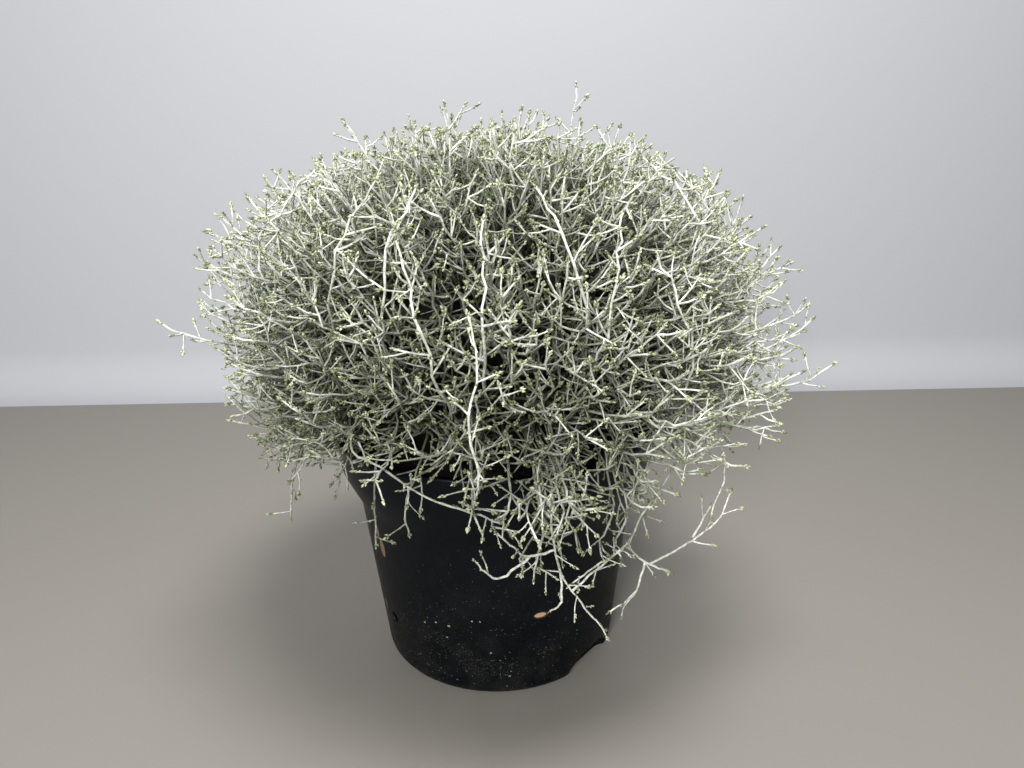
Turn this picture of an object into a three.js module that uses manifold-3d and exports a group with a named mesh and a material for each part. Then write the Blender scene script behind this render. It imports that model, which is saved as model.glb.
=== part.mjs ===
// A potted cushion bush: a black plastic nursery pot filled with compost, and a dome of thin,
// silvery, much-branched stems that rise from it. Millimetres, +Z up. The origin is at the centre
// of the pot's base, on the surface that it stands on. -Y is the front of the plant.

import * as THREE from 'three';
import { ConvexGeometry } from 'three/addons/geometries/ConvexGeometry.js';
import { mergeVertices } from 'three/addons/utils/BufferGeometryUtils.js';
import Module from 'manifold-3d';

const wasm = await Module();
wasm.setup();

// Pot: an outer wall that flares to a collar, with a foot ring and a small lip
const POT_SIDES = 36;
const BASE_RADIUS = 65.6;
const BASE_CORNER = 4.2;
const WALL_TOP = 93.3;
const WALL_TOP_RADIUS = 76;
const COLLAR_BOTTOM = 115.4;
const COLLAR_RADIUS = 85.6;
const RIM_HEIGHT = 135;
const RIM_RADIUS = 88.2;
const LIP_HEIGHT = 4;
const LIP_STEP = 0.9;
const POT_WALL = 1.6;
const CORNER_CUT = 0.3;
const FOOT_RING = 15;
const FOOT_RISE = 3;
const FLARE_STEPS = 3;
const CUT_LENGTH = 40;

// Drain recesses in the pot's bottom edge, with a hole in each, and two round holes in the wall
const RECESS_AZIMUTHS = [-40, 140];
const RECESS_HALF_WIDTH = 17.5;
const RECESS_HEIGHT = 13;
const RECESS_DEPTH = 7;
const RECESS_SIDES = 16;
const RECESS_HOLE_RADIUS = 4;
const SIDE_HOLE_AZIMUTHS = [-145, 35];
const SIDE_HOLE_HEIGHT = 31.5;
const SIDE_HOLE_RADIUS = 3;
const HOLE_SIDES = 10;

// Compost: its level at the edge and the swell in the middle
const SOIL_GAP = 0.4;
const SOIL_LEVEL = 118;
const SOIL_SWELL = 6;
const SOIL_PROFILE = [[1, 0], [0.7, 0.5], [0.35, 0.9], [0, 1]];
const STEM_HOLE_GAP = 0.6;
const STEM_DEPTH = 30;

// Bush: a cushion-shaped envelope that the twig tips reach, around a centre above the rim
const BUSH_CENTRE_HEIGHT = 165;
const BUSH_SIDE_REACH = 146;
const BUSH_TOP_REACH = 124;
const BUSH_SQUARENESS = 2.5;
const BUSH_SWELLS = [
  { azimuth: -12, elevation: 6, spread: 24, height: 15 },
  { azimuth: -165, elevation: 27, spread: 22, height: 7 },
  { azimuth: -45, elevation: -12, spread: 22, height: 6 },
  { azimuth: 180, elevation: 56, spread: 13, height: -8 },
  { azimuth: 5, elevation: 52, spread: 14, height: -5 },
  { azimuth: -150, elevation: -14, spread: 24, height: -12 },
];
const BROAD_LUMP = { height: 3, round: 5, up: 7 };
const FINE_LUMP = { height: 2, round: 9, up: -11 };

// The bush has one spray in the middle and a ring of sprays round it, each on its own main stem. The
// slope is how fast the middle spray widens upwards from the bush's centre.
const RING_SPRAYS = 6;
const RING_START_AZIMUTH = -30;
const MIDDLE_SLOPE = 0.43;
const SPRAY_GAP = 0.4;
const STEM_RADIUS = 3.2;
const STEM_SIDES = 6;
const STEM_CIRCLE = 21;
const STEM_TAPER = [0.95, 0.8];
const STEM_RISE = 9.6;

// Low growth leaves its core above the rim and droops on its way out
const LOWEST_ELEVATION = -30;
const DROOP_START = 20;
const DROOP = 0.3;

// Core of each spray: a faceted shell, with corners spread evenly over it and along its edges
const CORE_SHARE = 0.55;
const CORE_INNER_SHARE = 0.3;
const CORE_CORNERS = 430;
const CORE_CORNER_MARGIN = 4.5;
const CORE_EDGE_STEPS = 11;
const CORE_RIM_STEPS = 4;
const CORE_FACING = 0.4;
const BARE_BAND = 0.06;
const MIDDLE_CORE_BOTTOM = 6;

// Stalks: one on each facet of a core, with a neck that forks into three twigs
const NECK_SHARE = 0.63;
const NECK_SHARE_SCATTER = 0.03;
const NECK_WIDTH = 0.24;
const FORK_RISE = 0.05;
const TIP_SHARE = 0.95;
const TIP_SCATTER = 0.06;
const TIP_REACH = 0.72;
const TIP_REACH_SCATTER = 0.2;
const POT_CLEARANCE = 2;
const CLEARANCE_STEP = 2;

// Long twigs that stand out of the dome, with side twigs
const TWIG_SIDES = 3;
const TWIG_RADIUS = 1.5;
const TWIG_ROOT_SHARE = 0.46;
const ROOT_MARGIN = 6;
const SIDE_TWIGS = 2;
const SIDE_TWIG_RADIUS = 1.1;
const SIDE_TWIG_LENGTH = 18;
const SIDE_TWIG_ANGLE = 50;
const SIDE_TWIG_START = 0.6;
const SIDE_TWIG_STEP = 0.2;
const SIDE_TWIG_ANGLE_SCATTER = 10;
const SIDE_TWIG_LENGTH_SCATTER = 0.2;
const HANGING_TAPER = 0.9;

// Single twigs that stand out of the dome, by their tips
const TALL_TIPS = [
  [43, -12, 303], [-67, -16, 289], [-20, -6, 296], [17, -4, 293], [64, -10, 284],
  [-100, -27, 268], [-134, -46, 231], [-150, -58, 203], [110, -25, 263], [124, -29, 242],
  [159, -62, 178], [150, -52, 197], [-42, 30, 290], [30, 48, 292], [-80, 90, 262],
  [96, 84, 262], [10, 128, 238], [-132, 66, 214], [140, 70, 205], [-60, -100, 262],
  [70, -98, 256], [5, -122, 246], [-159.7, 62, 178], [20, 153, 190], [12, -153, 186],
];

// Drooping twigs below the dome, as corners from the foot to the tip. A foot lies in the core or on
// the twig before it.
const HANGING_TWIGS = [
  [[13, -66, 168], [25, -118, 146], [25, -124, 131], [29, -112, 103], [39, -104, 82], [52, -97, 57]],
  [[27, -118, 117], [16, -118, 114], [4, -115, 102], [4, -117, 108]],
  [[29, -112, 103], [30, -108, 85], [25, -106, 79]],
  [[35, -107, 90], [50, -100, 98]],
  [
    [51, -43, 168], [84, -84, 148], [66, -98, 122], [62, -93, 103], [72, -88, 91], [65, -84, 72],
    [56, -84, 63],
  ],
  [[72, -88, 91], [98, -70, 94], [110, -66, 108]],
  [[72, -88, 91], [84, -84, 84]],
  [[58, -29, 168], [104, -62, 148], [110, -68, 128], [104, -72, 108]],
  [[-58, -29, 166], [-90, -50, 150], [-99, -55, 123], [-102, -56, 101]],
  [[-30, -57, 168], [-49, -92, 152], [-52, -92, 128], [-52, -92, 104]],
  [[-20, -60, 166], [-30, -98, 150], [-37, -104, 131], [-36, -104, 118]],
  [[-5, -64, 166], [-5, -116, 156], [-5, -130, 150], [-6, -126, 132]],
];

const COLOURS = {
  pot: { color: 0x15181a, roughness: 0.5, metalness: 0 },
  soil: { color: 0x2b2119, roughness: 1, metalness: 0 },
  spray: { color: 0xb9beb0, roughness: 0.9, metalness: 0 },
};

const TURN = 2 * Math.PI;
const MERGE_DISTANCE = 1e-4;
const NEARLY_UPRIGHT = 0.9;
const GOLDEN_ANGLE = Math.PI * (3 - Math.sqrt(5));
const UP = new THREE.Vector3(0, 0, 1);
const SIDEWAYS = new THREE.Vector3(1, 0, 0);
const LATHE_AXIS = new THREE.Vector3(0, 1, 0);
const CENTRE = new THREE.Vector3(0, 0, BUSH_CENTRE_HEIGHT);
const RING = [...Array(RING_SPRAYS).keys()];
const MIDDLE = RING_SPRAYS;
const RING_HALF_ANGLE = Math.PI / RING_SPRAYS;
const radians = THREE.MathUtils.degToRad;

// Repeatable random numbers from 0 to 1
function seededRandom(seed) {
  let state = seed;
  return () => {
    state = (state + 0x6d2b79f5) | 0;
    let mixed = Math.imul(state ^ (state >>> 15), 1 | state);
    mixed = (mixed + Math.imul(mixed ^ (mixed >>> 7), 61 | mixed)) ^ mixed;
    return ((mixed ^ (mixed >>> 14)) >>> 0) / 4294967296;
  };
}

const random = seededRandom(17);
const scatter = (amount) => (random() * 2 - 1) * amount;

// Solids and meshes
function toSolid(geometry) {
  const plain = geometry.clone();
  plain.deleteAttribute('normal');
  plain.deleteAttribute('uv');
  const merged = mergeVertices(plain, MERGE_DISTANCE);
  const corners = [];
  const index = merged.index.array;
  for (let i = 0; i < index.length; i += 3) {
    const [a, b, c] = [index[i], index[i + 1], index[i + 2]];
    if (a !== b && b !== c && c !== a) corners.push(a, b, c);
  }
  return new wasm.Manifold(
    new wasm.Mesh({
      numProp: 3,
      vertProperties: new Float32Array(merged.attributes.position.array),
      triVerts: new Uint32Array(corners),
    }),
  );
}

function toGeometry(solid) {
  const { vertProperties, triVerts } = solid.getMesh();
  const geometry = new THREE.BufferGeometry();
  geometry.setAttribute('position', new THREE.BufferAttribute(vertProperties, 3));
  geometry.setIndex(new THREE.BufferAttribute(triVerts, 1));
  geometry.computeVertexNormals();
  return geometry;
}

// The largest body of a fused solid: loose scraps and sealed hollows are dropped
function mainBody(solid) {
  const bodies = solid.decompose();
  return bodies.reduce((best, body) => (body.volume() > best.volume() ? body : best));
}

function lathe(outline) {
  const points = outline.map(([radius, height]) => new THREE.Vector2(radius, height));
  const geometry = new THREE.LatheGeometry(points, POT_SIDES);
  geometry.rotateX(Math.PI / 2);
  return toSolid(geometry);
}

// Pot
function flare() {
  const points = [];
  for (let i = 1; i < FLARE_STEPS; i += 1) {
    const share = i / FLARE_STEPS;
    const ease = THREE.MathUtils.smoothstep(share, 0, 1);
    const radius = THREE.MathUtils.lerp(WALL_TOP_RADIUS, COLLAR_RADIUS, (ease + share) / 2);
    points.push([radius, THREE.MathUtils.lerp(WALL_TOP, COLLAR_BOTTOM, share)]);
  }
  return points;
}

function outsideWall() {
  const wallSlope = (WALL_TOP_RADIUS - BASE_RADIUS) / WALL_TOP;
  return [
    [BASE_RADIUS - FOOT_RING - FOOT_RISE, FOOT_RISE],
    [BASE_RADIUS - FOOT_RING, 0],
    [BASE_RADIUS - BASE_CORNER, 0],
    [BASE_RADIUS - BASE_CORNER * CORNER_CUT, BASE_CORNER * CORNER_CUT],
    [BASE_RADIUS + wallSlope * BASE_CORNER, BASE_CORNER],
    [WALL_TOP_RADIUS, WALL_TOP],
    ...flare(),
    [COLLAR_RADIUS, COLLAR_BOTTOM],
    [RIM_RADIUS - LIP_STEP, RIM_HEIGHT - LIP_HEIGHT],
    [RIM_RADIUS, RIM_HEIGHT - LIP_HEIGHT + LIP_STEP],
    [RIM_RADIUS, RIM_HEIGHT - LIP_STEP],
    [RIM_RADIUS - LIP_STEP, RIM_HEIGHT],
  ];
}

// The pot's inner wall from the collar down to the floor, at a distance from the outside
function insideWall(inset) {
  const flareInside = flare().map(([radius, height]) => [radius - inset, height]);
  return [
    [COLLAR_RADIUS - inset, COLLAR_BOTTOM],
    ...flareInside.reverse(),
    [WALL_TOP_RADIUS - inset, WALL_TOP],
    [BASE_RADIUS - inset, BASE_CORNER],
    [BASE_RADIUS - BASE_CORNER - inset, inset],
    [BASE_RADIUS - FOOT_RING, inset],
    [BASE_RADIUS - FOOT_RING - FOOT_RISE, FOOT_RISE + inset],
    [0, FOOT_RISE + inset],
  ];
}

// A round-topped block that reaches in from the pot's side at its foot
function recessBlock(azimuth, grow) {
  const block = new THREE.CylinderGeometry(1, 1, CUT_LENGTH, RECESS_SIDES);
  block.scale(RECESS_HALF_WIDTH + grow, 1, RECESS_HEIGHT + grow);
  block.translate(0, BASE_RADIUS - RECESS_DEPTH - grow + CUT_LENGTH / 2, 0);
  block.rotateZ(radians(azimuth) - Math.PI / 2);
  return toSolid(block);
}

// A round bar along a radius of the pot, to cut a hole in its wall
function radialBar(azimuth, height, radius, start) {
  const bar = new THREE.CylinderGeometry(radius, radius, CUT_LENGTH, HOLE_SIDES);
  bar.translate(0, start + CUT_LENGTH / 2, height);
  bar.rotateZ(radians(azimuth) - Math.PI / 2);
  return toSolid(bar);
}

function makePot() {
  const innerEdge = [RIM_RADIUS - LIP_STEP - POT_WALL, RIM_HEIGHT];
  let pot = lathe([[0, FOOT_RISE], ...outsideWall(), innerEdge, ...insideWall(POT_WALL)]);
  const filled = lathe([[0, FOOT_RISE], ...outsideWall(), [0, RIM_HEIGHT]]);
  for (const azimuth of RECESS_AZIMUTHS) {
    const holeStart = BASE_RADIUS - RECESS_DEPTH - 2 * POT_WALL;
    pot = pot
      .add(recessBlock(azimuth, POT_WALL).intersect(filled))
      .subtract(recessBlock(azimuth, 0))
      .subtract(radialBar(azimuth, RECESS_HEIGHT / 2, RECESS_HOLE_RADIUS, holeStart));
  }
  for (const azimuth of SIDE_HOLE_AZIMUTHS) {
    const holeStart = BASE_RADIUS - FOOT_RING / 2;
    pot = pot.subtract(radialBar(azimuth, SIDE_HOLE_HEIGHT, SIDE_HOLE_RADIUS, holeStart));
  }
  return mainBody(pot);
}

// Radius that keeps a twig off the pot at a height
function potRadius(height) {
  if (height > RIM_HEIGHT) return 0;
  if (height > COLLAR_BOTTOM) return RIM_RADIUS;
  return height > WALL_TOP ? COLLAR_RADIUS : WALL_TOP_RADIUS;
}

// Compost
function makeSoil(feet) {
  const edge = COLLAR_RADIUS - POT_WALL - SOIL_GAP;
  const top = SOIL_PROFILE.map(([out, up]) => [edge * out, SOIL_LEVEL + SOIL_SWELL * up]);
  let soil = lathe([...insideWall(POT_WALL + SOIL_GAP).reverse(), ...top]);
  for (const azimuth of RECESS_AZIMUTHS) {
    soil = soil.subtract(recessBlock(azimuth, POT_WALL + SOIL_GAP));
  }
  const radius = STEM_RADIUS + STEM_HOLE_GAP;
  for (const foot of feet) {
    const bottom = foot.clone().setZ(foot.z - SOIL_GAP);
    const above = foot.clone().setZ(RIM_HEIGHT);
    soil = soil.subtract(taperedBar(bottom, above, radius, radius, HOLE_SIDES));
  }
  return mainBody(soil);
}

// Envelope of the bush
function directionOf(azimuth, elevation) {
  const level = Math.cos(elevation);
  return new THREE.Vector3(level * Math.cos(azimuth), level * Math.sin(azimuth), Math.sin(elevation));
}

// Distance from the bush's centre to its surface in a direction
function reachOf(direction) {
  const elevation = Math.asin(THREE.MathUtils.clamp(direction.z, -1, 1));
  const azimuth = Math.atan2(direction.y, direction.x);
  const level = (Math.cos(elevation) / BUSH_SIDE_REACH) ** BUSH_SQUARENESS;
  const height = (Math.abs(Math.sin(elevation)) / BUSH_TOP_REACH) ** BUSH_SQUARENESS;
  let reach = (level + height) ** (-1 / BUSH_SQUARENESS);
  for (const swell of BUSH_SWELLS) {
    const towards = directionOf(radians(swell.azimuth), radians(swell.elevation));
    const apart = THREE.MathUtils.radToDeg(towards.angleTo(direction));
    reach += swell.height * Math.exp(-((apart / swell.spread) ** 2));
  }
  for (const lump of [BROAD_LUMP, FINE_LUMP]) {
    const wave = Math.sin(azimuth * lump.round + elevation * lump.up);
    reach += lump.height * wave * Math.cos(elevation);
  }
  return reach;
}

function surfacePoint(direction, share) {
  return CENTRE.clone().addScaledVector(direction, reachOf(direction) * share);
}

// The space of each spray: a pyramid that widens upwards from the bush's centre for the middle one,
// and a wedge outside one side of it for each spray of the ring
function sprayAzimuth(spray) {
  return radians(RING_START_AZIMUTH) + (spray * TURN) / RING_SPRAYS;
}

function outwards(spray) {
  return directionOf(sprayAzimuth(spray), 0);
}

// The way across the slanted side between the middle spray and one of the ring, and the distance of
// a point past it
function acrossSide(neighbour) {
  return outwards(neighbour).addScaledVector(UP, -MIDDLE_SLOPE).normalize();
}

function pastSide(point, neighbour) {
  return point.clone().sub(CENTRE).dot(acrossSide(neighbour));
}

function sprayAt(point) {
  const nearest = RING.reduce((best, spray) => (
    point.dot(outwards(spray)) > point.dot(outwards(best)) ? spray : best
  ));
  return pastSide(point, nearest) < 0 ? MIDDLE : nearest;
}

function keepInside(spray, point, margin) {
  const kept = point.clone();
  if (spray === MIDDLE) {
    for (const neighbour of RING) {
      const excess = pastSide(kept, neighbour) + margin;
      if (excess > 0) kept.addScaledVector(acrossSide(neighbour), -excess);
    }
    return kept;
  }
  const missing = margin - pastSide(kept, spray);
  if (missing > 0) kept.addScaledVector(acrossSide(spray), missing);
  const across = new THREE.Vector3().crossVectors(UP, outwards(spray));
  const out = kept.dot(outwards(spray));
  const limit = out * Math.tan(RING_HALF_ANGLE) - margin / Math.cos(RING_HALF_ANGLE);
  const side = THREE.MathUtils.clamp(kept.dot(across), -limit, limit);
  return outwards(spray).multiplyScalar(out).addScaledVector(across, side).setZ(kept.z);
}

// A point on the way out to a tip in a direction: low growth starts higher and droops
function growthPoint(direction, share) {
  const elevation = Math.asin(THREE.MathUtils.clamp(direction.z, -1, 1));
  const azimuth = Math.atan2(direction.y, direction.x);
  const way = THREE.MathUtils.clamp((share - CORE_SHARE) / (1 - CORE_SHARE), 0, 1);
  const lift = DROOP * Math.max(0, radians(DROOP_START) - elevation) * (1 - way * way);
  return surfacePoint(directionOf(azimuth, elevation + lift), share);
}

// The direction of the tip that a corner of a core grows towards
function tipDirection(corner) {
  const direction = corner.clone().sub(CENTRE).normalize();
  const elevation = Math.asin(THREE.MathUtils.clamp(direction.z, -1, 1));
  if (elevation > radians(DROOP_START)) return direction;
  const drooped = (elevation - DROOP * radians(DROOP_START)) / (1 - DROOP);
  return directionOf(Math.atan2(direction.y, direction.x), drooped);
}

// Elevation of the side between the middle spray and one of the ring, at an angle from its middle
function sideElevation(angle) {
  return Math.atan2(Math.cos(angle), MIDDLE_SLOPE);
}

// Directions along the edges of a spray's part of the dome
function edgeDirections(spray) {
  const directions = [];
  const lowest = radians(LOWEST_ELEVATION);
  const neighbours = spray === MIDDLE ? RING : [spray];
  for (const neighbour of neighbours) {
    for (let i = -CORE_RIM_STEPS; i <= CORE_RIM_STEPS; i += 1) {
      const angle = (i / CORE_RIM_STEPS) * RING_HALF_ANGLE;
      const azimuth = sprayAzimuth(neighbour) + angle;
      directions.push(directionOf(azimuth, sideElevation(angle)));
      if (spray !== MIDDLE) directions.push(directionOf(azimuth, lowest));
    }
  }
  if (spray === MIDDLE) return directions;
  for (let i = 1; i < CORE_EDGE_STEPS; i += 1) {
    const top = sideElevation(RING_HALF_ANGLE);
    const elevation = THREE.MathUtils.lerp(lowest, top, i / CORE_EDGE_STEPS);
    for (const side of [-RING_HALF_ANGLE, RING_HALF_ANGLE]) {
      directions.push(directionOf(sprayAzimuth(spray) + side, elevation));
    }
  }
  return directions;
}

// Corners of a core: spread over the dome by the golden angle, and along its edges
function coreCorners(spray) {
  const corners = edgeDirections(spray).map((direction) => growthPoint(direction, CORE_SHARE));
  const lowest = Math.sin(radians(LOWEST_ELEVATION));
  for (let i = 0; i < CORE_CORNERS; i += 1) {
    const height = THREE.MathUtils.lerp(1, lowest, (i + 0.5) / CORE_CORNERS);
    const corner = growthPoint(directionOf(i * GOLDEN_ANGLE, Math.asin(height)), CORE_SHARE);
    const kept = keepInside(spray, corner, CORE_CORNER_MARGIN);
    const low = tipDirection(corner).z < lowest + BARE_BAND;
    if (sprayAt(corner) === spray && kept.distanceTo(corner) < SPRAY_GAP && !low) corners.push(corner);
  }
  return corners;
}

function innerCorners(spray) {
  if (spray === MIDDLE) return [CENTRE.clone().setZ(BUSH_CENTRE_HEIGHT + MIDDLE_CORE_BOTTOM)];
  return edgeDirections(spray).map((direction) => growthPoint(direction, CORE_INNER_SHARE));
}

// The faces of a stalk on three corners of a core, or the plain facet where the pot is in its way
function stalk(corners) {
  const ends = corners.map(tipDirection);
  const middle = ends[0].clone().add(ends[1]).add(ends[2]).normalize();
  const neckShare = NECK_SHARE + scatter(NECK_SHARE_SCATTER);
  const neck = ends.map((end) => growthPoint(middle.clone().lerp(end, NECK_WIDTH).normalize(), neckShare));
  const fork = growthPoint(middle, neckShare + FORK_RISE);
  const tips = ends.map((end, i) => {
    const edge = end.clone().lerp(ends[(i + 1) % 3], 0.5 + scatter(TIP_REACH_SCATTER));
    const direction = middle.clone().lerp(edge, TIP_REACH + scatter(TIP_REACH_SCATTER)).normalize();
    return growthPoint(direction, TIP_SHARE + scatter(TIP_SCATTER));
  });
  const clear = [0, 1, 2].every((i) => (
    clearOfPot(corners[i], neck[i]) && clearOfPot(neck[i], tips[i]) && clearOfPot(fork, tips[i])
  ));
  if (!clear) return [corners];
  return [0, 1, 2].flatMap((i) => {
    const j = (i + 1) % 3;
    return [
      [corners[i], corners[j], neck[j]],
      [corners[i], neck[j], neck[i]],
      [neck[i], neck[j], tips[i]],
      [neck[j], fork, tips[i]],
      [fork, neck[i], tips[i]],
    ];
  });
}

// A core with a stalk on every facet that faces outwards
function makeCore(spray) {
  const corners = [...coreCorners(spray), ...innerCorners(spray)];
  const hull = new ConvexGeometry(corners.map((corner) => keepInside(spray, corner, SPRAY_GAP)));
  const place = hull.attributes.position;
  const faces = [];
  for (let i = 0; i < place.count; i += 3) {
    const facet = [0, 1, 2].map((j) => new THREE.Vector3().fromBufferAttribute(place, i + j));
    const facing = new THREE.Triangle(...facet).getNormal(new THREE.Vector3());
    const middle = facet[0].clone().add(facet[1]).add(facet[2]).divideScalar(3).sub(CENTRE);
    const outer = facet.every((corner) => {
      const offset = corner.clone().sub(CENTRE);
      return offset.length() > reachOf(offset.normalize()) * (CORE_SHARE + CORE_INNER_SHARE) / 2;
    });
    faces.push(...(outer && facing.dot(middle.normalize()) > CORE_FACING ? stalk(facet) : [facet]));
  }
  const shell = new THREE.BufferGeometry().setFromPoints(faces.flat());
  return toSolid(shell);
}

// A straight tapered bar between two points
function taperedBar(start, end, startRadius, endRadius, sides) {
  const along = end.clone().sub(start);
  const length = along.length();
  const bar = new THREE.CylinderGeometry(endRadius, startRadius, length, sides);
  bar.translate(0, length / 2, 0);
  bar.applyQuaternion(new THREE.Quaternion().setFromUnitVectors(LATHE_AXIS, along.normalize()));
  bar.translate(start.x, start.y, start.z);
  return toSolid(bar);
}

// Main stem: upright in its hole in the compost, then leaning out into the core
function stemFoot(spray) {
  const foot = spray === MIDDLE ? new THREE.Vector3() : outwards(spray).multiplyScalar(STEM_CIRCLE);
  return foot.setZ(SOIL_LEVEL - STEM_DEPTH);
}

function makeStem(spray) {
  const foot = stemFoot(spray);
  const bend = foot.clone().setZ(SOIL_LEVEL + SOIL_SWELL + STEM_RADIUS);
  const reach = spray === MIDDLE ? 0 : BUSH_SIDE_REACH / 2;
  const height = spray === MIDDLE ? BUSH_TOP_REACH / 2 : STEM_RISE;
  const head = directionOf(sprayAzimuth(spray === MIDDLE ? 0 : spray), 0).multiplyScalar(reach);
  head.setZ(BUSH_CENTRE_HEIGHT + height);
  const sunk = bend.clone().setZ(bend.z - STEM_RADIUS / 2);
  const [sunkRadius, headRadius] = STEM_TAPER.map((share) => STEM_RADIUS * share);
  return [
    taperedBar(foot, bend, STEM_RADIUS, STEM_RADIUS, STEM_SIDES),
    taperedBar(sunk, head, sunkRadius, headRadius, STEM_SIDES),
  ];
}

// Twigs
function clearOfPot(root, tip) {
  const steps = Math.ceil(root.distanceTo(tip) / CLEARANCE_STEP);
  return [...Array(steps + 1).keys()].every((step) => {
    const point = root.clone().lerp(tip, step / steps);
    const limit = potRadius(point.z - POT_CLEARANCE) + POT_CLEARANCE;
    return Math.hypot(point.x, point.y) > limit || point.z > RIM_HEIGHT + POT_CLEARANCE;
  });
}

// A direction that leans away from another by an angle, turned round it
function leanAway(along, angle, turn) {
  const across = new THREE.Vector3().crossVectors(along, Math.abs(along.z) > NEARLY_UPRIGHT ? SIDEWAYS : UP);
  across.normalize().applyAxisAngle(along, turn);
  return along.clone().multiplyScalar(Math.cos(angle)).addScaledVector(across, Math.sin(angle));
}

// A three-sided twig that tapers to its tip, kept in the spray's own space and off the pot
function twig(spray, root, tip, radius) {
  const end = keepInside(spray, tip, radius + SPRAY_GAP);
  if (!clearOfPot(root, end)) return [];
  return [taperedBar(root, end, radius, 0, TWIG_SIDES)];
}

// A twig with side twigs that stand out of it in turn
function branchedTwig(spray, root, tip) {
  const along = tip.clone().sub(root).normalize();
  const solids = twig(spray, root, tip, TWIG_RADIUS);
  let turn = random() * TURN;
  for (let i = 0; i < SIDE_TWIGS; i += 1) {
    const foot = root.clone().lerp(tip, SIDE_TWIG_START + SIDE_TWIG_STEP * i);
    const angle = radians(SIDE_TWIG_ANGLE + scatter(SIDE_TWIG_ANGLE_SCATTER));
    const length = SIDE_TWIG_LENGTH * (1 + scatter(SIDE_TWIG_LENGTH_SCATTER));
    const sideTip = foot.clone().addScaledVector(leanAway(along, angle, turn), length);
    solids.push(...twig(spray, foot, sideTip, SIDE_TWIG_RADIUS));
    turn += GOLDEN_ANGLE;
  }
  return solids;
}

function addTallTwigs(twigs) {
  for (const corner of TALL_TIPS) {
    const tip = new THREE.Vector3(...corner);
    const spray = sprayAt(tip);
    const foot = surfacePoint(tip.clone().sub(CENTRE).normalize(), TWIG_ROOT_SHARE);
    twigs[spray].push(...branchedTwig(spray, keepInside(spray, foot, ROOT_MARGIN), tip));
  }
}

// Hanging twigs of several straight stretches, each sunk into the last
function addHangingTwigs(twigs) {
  for (const corners of HANGING_TWIGS) {
    const points = corners.map((corner) => new THREE.Vector3(...corner));
    const spray = sprayAt(points[0]);
    const kept = points.map((point) => keepInside(spray, point, TWIG_RADIUS + SPRAY_GAP));
    for (let i = 1; i < kept.length; i += 1) {
      const endRadius = i === kept.length - 1 ? 0 : TWIG_RADIUS * HANGING_TAPER;
      twigs[spray].push(taperedBar(kept[i - 1], kept[i], TWIG_RADIUS, endRadius, TWIG_SIDES));
    }
  }
}

// The whole plant
const group = new THREE.Group();

function addPiece(name, solid, colours) {
  const mesh = new THREE.Mesh(toGeometry(solid), new THREE.MeshStandardMaterial(colours));
  mesh.name = name;
  group.add(mesh);
}

const twigs = [...RING, MIDDLE].map(() => []);
addTallTwigs(twigs);
addHangingTwigs(twigs);

addPiece('pot', makePot(), COLOURS.pot);
addPiece('soil', makeSoil(twigs.map((_, spray) => stemFoot(spray))), COLOURS.soil);
twigs.forEach((solids, spray) => {
  const name = spray === MIDDLE ? 'spray_middle' : `spray_${spray + 1}`;
  const fused = wasm.Manifold.union([makeCore(spray), ...makeStem(spray), ...solids]);
  addPiece(name, mainBody(fused), COLOURS.spray);
});

export default group;
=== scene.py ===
"""A potted cushion bush: a black nursery pot of compost under a dome of silvery, felted twigs."""

import math
import random

import bmesh
import bpy
from mathutils import Euler, Matrix, Vector


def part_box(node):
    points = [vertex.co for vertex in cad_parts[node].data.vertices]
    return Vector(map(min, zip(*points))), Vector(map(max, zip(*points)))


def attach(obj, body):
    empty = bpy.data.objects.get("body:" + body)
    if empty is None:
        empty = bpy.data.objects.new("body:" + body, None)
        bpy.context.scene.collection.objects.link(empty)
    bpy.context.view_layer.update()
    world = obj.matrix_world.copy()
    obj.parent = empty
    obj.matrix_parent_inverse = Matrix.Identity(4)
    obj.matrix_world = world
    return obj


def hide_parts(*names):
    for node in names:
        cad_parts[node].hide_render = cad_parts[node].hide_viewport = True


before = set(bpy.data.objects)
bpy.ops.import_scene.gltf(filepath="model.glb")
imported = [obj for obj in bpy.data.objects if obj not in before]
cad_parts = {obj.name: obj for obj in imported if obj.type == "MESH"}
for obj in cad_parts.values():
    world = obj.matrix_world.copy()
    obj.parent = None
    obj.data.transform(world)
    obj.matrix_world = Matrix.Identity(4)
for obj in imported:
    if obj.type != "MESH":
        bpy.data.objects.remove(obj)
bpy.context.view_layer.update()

MM = 0.001


# Camera
# It stands in front of the pot and a little above its rim, as the photograph was taken, and looks
# down at the dome.
CAMERA_HEIGHT = 282.2 * MM
CAMERA_DISTANCE = 401.8 * MM
CAMERA_SIDESTEP = 9.9 * MM
CAMERA_TILT = math.radians(17.99)
CAMERA_ROLL = math.radians(-1.1)
CAMERA_LENS = 27.04
CAMERA_SENSOR = 36

camera_data = bpy.data.cameras.new("camera")
camera_data.lens = CAMERA_LENS
camera_data.sensor_width = CAMERA_SENSOR
camera = bpy.data.objects.new("camera", camera_data)
bpy.context.collection.objects.link(camera)
camera_place = Matrix.Translation((CAMERA_SIDESTEP, -CAMERA_DISTANCE, CAMERA_HEIGHT))
camera_turn = Matrix.Rotation(math.pi / 2 - CAMERA_TILT, 4, "X") @ Matrix.Rotation(CAMERA_ROLL, 4, "Z")
camera.matrix_world = camera_place @ camera_turn
bpy.context.scene.camera = camera


# Floor, backdrop and light
# A plain pale table with a paler sweep behind it, under broad soft lights from above.
TABLE_WIDTH = 3.2
TABLE_FRONT = -1.6
TABLE_BACK = 0.42
SWEEP_RADIUS = 0.05
WALL_HEIGHT = 1.9
TABLE_COLOUR = (0.3, 0.281, 0.253, 1)
WALL_COLOUR = (0.5, 0.51, 0.53, 1)


def link(thing):
    bpy.context.collection.objects.link(thing)
    return thing


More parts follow.
